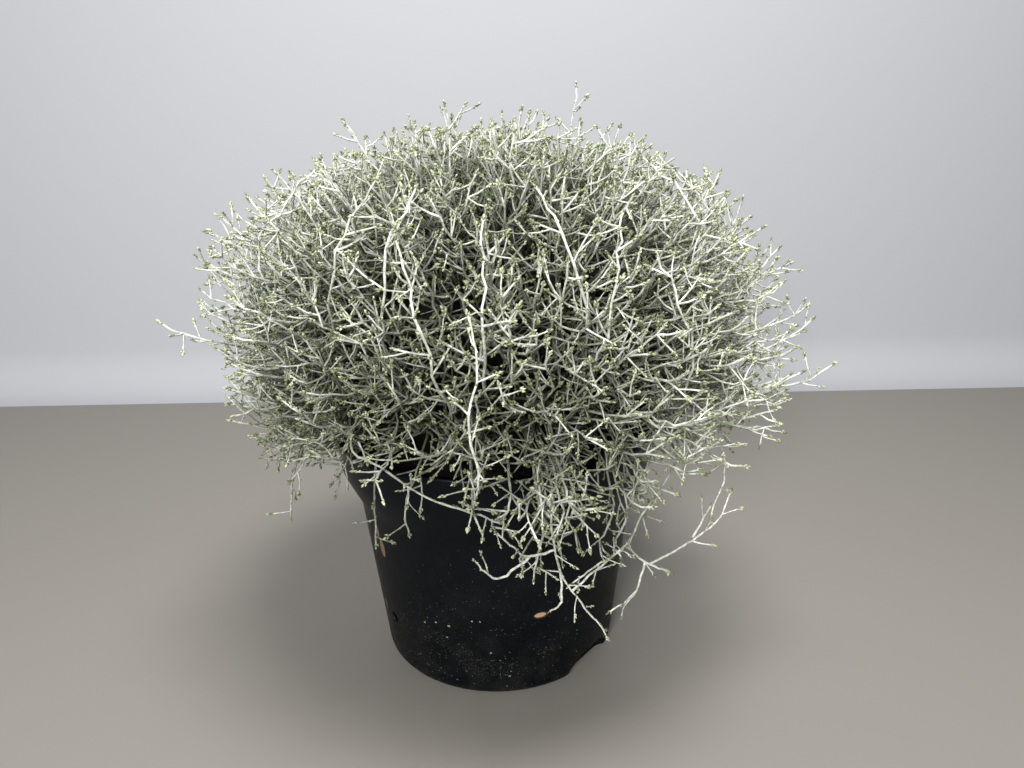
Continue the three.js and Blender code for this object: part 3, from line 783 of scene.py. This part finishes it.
# Bush: hanging twigs
# Lower shoots hang over the rim, the longest ones in front of the pot on the right.
HANGING = (
    ((16, -82, 168), (25, -118, 146), (25, -124, 131), (29, -112, 103), (39, -104, 82), (48, -98, 66), (51, -97, 62)),
    ((27, -118, 117), (16, -118, 114), (11, -120, 118), (3, -124, 128)),
    ((16, -118, 114), (4, -115, 102), (-3, -114, 104), (-7, -116, 111)),
    ((29, -112, 103), (30, -108, 85), (25, -106, 79)),
    ((35, -107, 90), (45, -102, 96), (60, -98, 108)),
    ((66, -56, 168), (84, -84, 148), (66, -98, 122), (60, -92, 103), (45, -98, 96), (34, -103, 90)),
    ((60, -92, 103), (72, -88, 91), (83, -84, 84)),
    ((70, -88, 92), (66, -84, 72), (55, -84, 63)),
    ((72, -88, 91), (86, -78, 92), (98, -70, 94), (110, -64, 101), (116, -60, 113)),
    ((96, -71, 95), (105, -66, 109)),
    ((80, -40, 168), (104, -62, 148), (110, -68, 128), (104, -72, 108)),
    ((-76, -38, 166), (-90, -50, 150), (-99, -55, 123), (-102, -56, 101)),
    ((-40, -76, 168), (-49, -92, 152), (-52, -92, 128), (-54, -88, 104)),
    ((-26, -76, 166), (-30, -98, 150), (-37, -104, 131), (-36, -104, 118)),
    ((-14, -70, 170), (-8, -104, 150), (-6, -128, 146), (-3, -139, 162), (-6, -145, 184), (-2, -143, 203), (-5, -138, 222)),
    ((-6, -110, 150), (-7, -124, 140), (-4, -128, 133)),
    ((-56, -70, 170), (-56, -112, 163), (-44, -116, 155), (-25, -120, 143), (-10, -122, 138), (4, -122, 132)),
)


FRINGE_TWIGS = 15
FRINGE_SIDE = (-88, -50)
FRINGE_TOP = 136
FRINGE_DROP = 38

for _ in range(FRINGE_TWIGS):
    azimuth = grow_random.uniform(*FRINGE_SIDE)
    drop = grow_random.random() ** 1.6
    out = direction_of(math.radians(azimuth), 0)
    end = direction_of(math.radians(azimuth + scatter(6)), 0)
    reach = 122 - 14 * drop + scatter(5)
    tip_height = FRINGE_TOP - FRINGE_DROP * drop
    corners = [out * 62, out * (reach - 18), out * (reach + 2), end * (reach - 2), end * (reach + 3)]
    heights = [164, 156, (150 + tip_height) / 2, tip_height + 5 * drop, tip_height]
    path = smooth_path([(corner + Vector((0, 0, height))) * MM for corner, height in zip(corners, heights)], 4)
    points = [clear_of_pot(point) for point in wander(path, 0.8 * MM)]
    spray = spray_at(points[-1])
    add_stem(spray, points, HANGING_THICKNESS, 6)
    add_side_shoots(spray, points, 0.3, 2.0, longest=18)
    add_beads(spray, points[len(points) // 2:], 0.0)
    add_bud(spray, points[-1], (points[-1] - points[-2]).normalized())

for corners in HANGING:
    points = wander(smooth_path([Vector(corner) * MM for corner in corners]), 0.4 * MM)
    spray = spray_at(points[0])
    add_stem(spray, points, HANGING_THICKNESS, 6)
    add_beads(spray, points[len(points) // 3:], 0.0)
    add_bud(spray, points[-1], (points[-1] - points[-2]).normalized())
    add_twigs(spray, points[len(points) // 3:], 2.0, every=9 * MM, length=(4, 10))


# Bush: meshes
# Stems become tubes, and the leaves are copies of one small spindle. Each CAD spray is replaced by
# its own stems and leaves.
LEAF_SIDES = 4
LEAF_RINGS = 2
STEM_WHITE = (0.92, 0.93, 0.87, 1)
STEM_WORN = (0.61, 0.625, 0.53, 1)
# The inner colours of stems and leaves, used deep in the bush, are partly older, duller growth and partly painted
# shade.
STEM_SHADE = (0.065, 0.072, 0.034, 1)
LEAF_PALE = (0.68, 0.71, 0.5, 1)
LEAF_OLIVE = (0.28, 0.31, 0.18, 1)
LEAF_DULL_AND_SHADE = (0.1, 0.125, 0.05, 1)


def tube_mesh(name, rows, sides):
    """Closed tubes of one number of sides through rows of points."""
    curve = bpy.data.curves.new(name, "CURVE")
    curve.dimensions = "3D"
    curve.bevel_depth = MM
    curve.bevel_resolution = (sides - 4) // 2
    curve.use_fill_caps = True
    for points, radii in rows:
        spline = curve.splines.new("POLY")
        spline.points.add(len(points) - 1)
        spline.points.foreach_set("co", [value for point in points for value in (*point, 1)])
        spline.points.foreach_set("radius", radii)
    holder = link(bpy.data.objects.new(name, curve))
    mesh = bpy.data.meshes.new_from_object(holder.evaluated_get(bpy.context.evaluated_depsgraph_get()))
    bpy.data.objects.remove(holder)
    return mesh


def leaf_copies_group(leaf):
    """A geometry node group that puts a real copy of the leaf on every vertex of a mesh."""
    group = bpy.data.node_groups.new("leaf_copies", "GeometryNodeTree")
    group.interface.new_socket("Geometry", in_out="INPUT", socket_type="NodeSocketGeometry")
    group.interface.new_socket("Geometry", in_out="OUTPUT", socket_type="NodeSocketGeometry")
    source = group.nodes.new("NodeGroupInput")
    result = group.nodes.new("NodeGroupOutput")
    shape = group.nodes.new("GeometryNodeObjectInfo")
    shape.inputs["Object"].default_value = leaf
    place = group.nodes.new("GeometryNodeInstanceOnPoints")
    real = group.nodes.new("GeometryNodeRealizeInstances")
    for name, socket in (("turn", "Rotation"), ("size", "Scale")):
        read = node(group, "GeometryNodeInputNamedAttribute", data_type="FLOAT_VECTOR")
        read.inputs["Name"].default_value = name
        group.links.new(read.outputs["Attribute"], place.inputs[socket])
    group.links.new(source.outputs[0], place.inputs["Points"])
    group.links.new(shape.outputs["Geometry"], place.inputs["Instance"])
    group.links.new(place.outputs[0], real.inputs[0])
    group.links.new(real.outputs[0], result.inputs[0])
    return group


def leaf_mesh(name, rows, group):
    """All the leaves of a spray as one mesh."""
    points = bpy.data.meshes.new(name)
    points.from_pydata([point for point, _, _ in rows], [], [])
    turns = points.attributes.new("turn", "FLOAT_VECTOR", "POINT")
    sizes = points.attributes.new("size", "FLOAT_VECTOR", "POINT")
    up = Vector((0, 0, 1))
    turns.data.foreach_set("vector", [
        value for _, heading, _ in rows for value in up.rotation_difference(heading).to_euler()])
    sizes.data.foreach_set("vector", [
        value for _, _, size in rows for value in (size, size, size * 1.05)])
    holder = link(bpy.data.objects.new(name, points))
    copies = holder.modifiers.new("copies", "NODES")
    copies.node_group = group
    mesh = bpy.data.meshes.new_from_object(holder.evaluated_get(bpy.context.evaluated_depsgraph_get()))
    bpy.data.objects.remove(holder)
    return mesh


def felt_and_painted_shade_group():
    """Felt colour with blotches: pale at the surface, darker deep inside as older growth and painted shade."""
    group = bpy.data.node_groups.new("felt_and_painted_shade", "ShaderNodeTree")
    for name in ("Outer", "Inner"):
        group.interface.new_socket(name, in_out="INPUT", socket_type="NodeSocketColor")
    group.interface.new_socket("Color", in_out="OUTPUT", socket_type="NodeSocketColor")
    group.interface.new_socket("Fibres", in_out="OUTPUT", socket_type="NodeSocketFloat")
    source = group.nodes.new("NodeGroupInput")
    result = group.nodes.new("NodeGroupOutput")
    place = group.nodes.new("ShaderNodeTexCoord").outputs["Object"]
    centred = node(group, "ShaderNodeMapping", vector_type="POINT")
    centred.inputs["Location"].default_value = -BUSH_CENTRE
    group.links.new(place, centred.inputs["Vector"])
    squashed = node(group, "ShaderNodeVectorMath", operation="MULTIPLY")
    squashed.inputs[1].default_value = (1 / SIDE_REACH, 1 / SIDE_REACH, 1 / TOP_REACH)
    group.links.new(centred.outputs[0], squashed.inputs[0])
    depth = node(group, "ShaderNodeVectorMath", operation="LENGTH")
    group.links.new(squashed.outputs[0], depth.inputs[0])
    # Towards the bush's centre the colour turns to the inner one: partly older growth, partly painted shade.
    outer = ramp(group, depth.outputs["Value"], [(0.6, grey(0)), (0.84, grey(0.38)), (1.0, grey(1))])
    blotches = ramp(group, noise(group, place, 110, 3, 0.6), [(0.3, grey(0.72)), (0.7, grey(1.12))])
    shaded = mix(group, outer, source.outputs["Inner"], source.outputs["Outer"])
    group.links.new(mix(group, 1.0, shaded, blotches, "MULTIPLY"), result.inputs["Color"])
    group.links.new(noise(group, place, 2600, 2), result.inputs["Fibres"])
    return group


felt_and_painted_shade = felt_and_painted_shade_group()


def felt_material(name, outer, worn, inner, sheen):
    material, tree, shader, place = new_material(name)
    cover = tree.nodes.new("ShaderNodeGroup")
    cover.node_tree = felt_and_painted_shade
    patches = ramp(tree, noise(tree, place, 420, 2), [(0.42, worn), (0.58, outer)])
    tree.links.new(patches, cover.inputs["Outer"])
    cover.inputs["Inner"].default_value = inner
    tree.links.new(cover.outputs["Color"], shader.inputs["Base Color"])
    tree.links.new(bump(tree, cover.outputs["Fibres"], 0.4, 0.0004), shader.inputs["Normal"])
    shader.inputs["Roughness"].default_value = 0.85
    shader.inputs["Specular IOR Level"].default_value = 0.25
    shader.inputs["Sheen Weight"].default_value = sheen
    shader.inputs["Sheen Roughness"].default_value = 0.5
    return material


stem_felt = felt_material("silver_stem", STEM_WHITE, STEM_WORN, STEM_SHADE, 0.1)
leaf_felt = felt_material("sage_leaf", LEAF_PALE, LEAF_OLIVE, LEAF_DULL_AND_SHADE, 0.1)

bm = bmesh.new()
bmesh.ops.create_uvsphere(bm, u_segments=LEAF_SIDES, v_segments=LEAF_RINGS, radius=1)
bmesh.ops.scale(bm, vec=(LEAF_WIDTH * MM, LEAF_WIDTH * MM * 0.85, LEAF_LENGTH / 2 * MM), verts=bm.verts)
bmesh.ops.translate(bm, vec=(0, 0, LEAF_LENGTH / 2 * MM), verts=bm.verts)
leaf_shape = mesh_object("leaf_shape", bm, leaf_felt)
copies_group = leaf_copies_group(leaf_shape)

for spray in sorted(stems):
    bm = bmesh.new()
    for sides in (4, 6):
        rows = [(points, radii) for points, radii, count in stems[spray] if count == sides]
        if rows:
            bm.from_mesh(tube_mesh(f"{spray}_tubes", rows, sides))
    for face in bm.faces:
        face.material_index = 0
    stem_faces = len(bm.faces)
    bm.from_mesh(leaf_mesh(f"{spray}_leaves", leaves[spray], copies_group))
    bm.faces.ensure_lookup_table()
    for face in bm.faces[stem_faces:]:
        face.material_index = 1
    foliage = mesh_object(f"{spray}_twigs", bm, stem_felt)
    foliage.data.materials.append(leaf_felt)
    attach(foliage, "root")
    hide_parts(spray)
bpy.data.objects.remove(leaf_shape)


# Inner growth and painted shade
# A nearly black lump fills the heart of the bush, for its old wood and dead scale leaves. Its colour is
# painted shade: it shows only as the darkness between the stems.
HEART_SHARE = 0.46
HEART_ROUGHNESS = 0.06
HEART_SUBDIVISIONS = 5

# Its near-black colour is painted shade as well as old wood.
heart_shade_material = plain_material("old_wood_and_painted_shade", (0.008, 0.008, 0.005, 1), 1)
bm = bmesh.new()
bmesh.ops.create_icosphere(bm, subdivisions=HEART_SUBDIVISIONS, radius=1)
heart_random = random.Random(3)
for vert in bm.verts:
    share = HEART_SHARE * (1 + heart_random.uniform(-HEART_ROUGHNESS, HEART_ROUGHNESS))
    vert.co = surface_point(vert.co.normalized(), share)
    vert.co.z = max(vert.co.z, soil_box[1][2] + 1 * MM)
heart = mesh_object("inner_growth", bm, heart_shade_material)
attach(heart, "root")
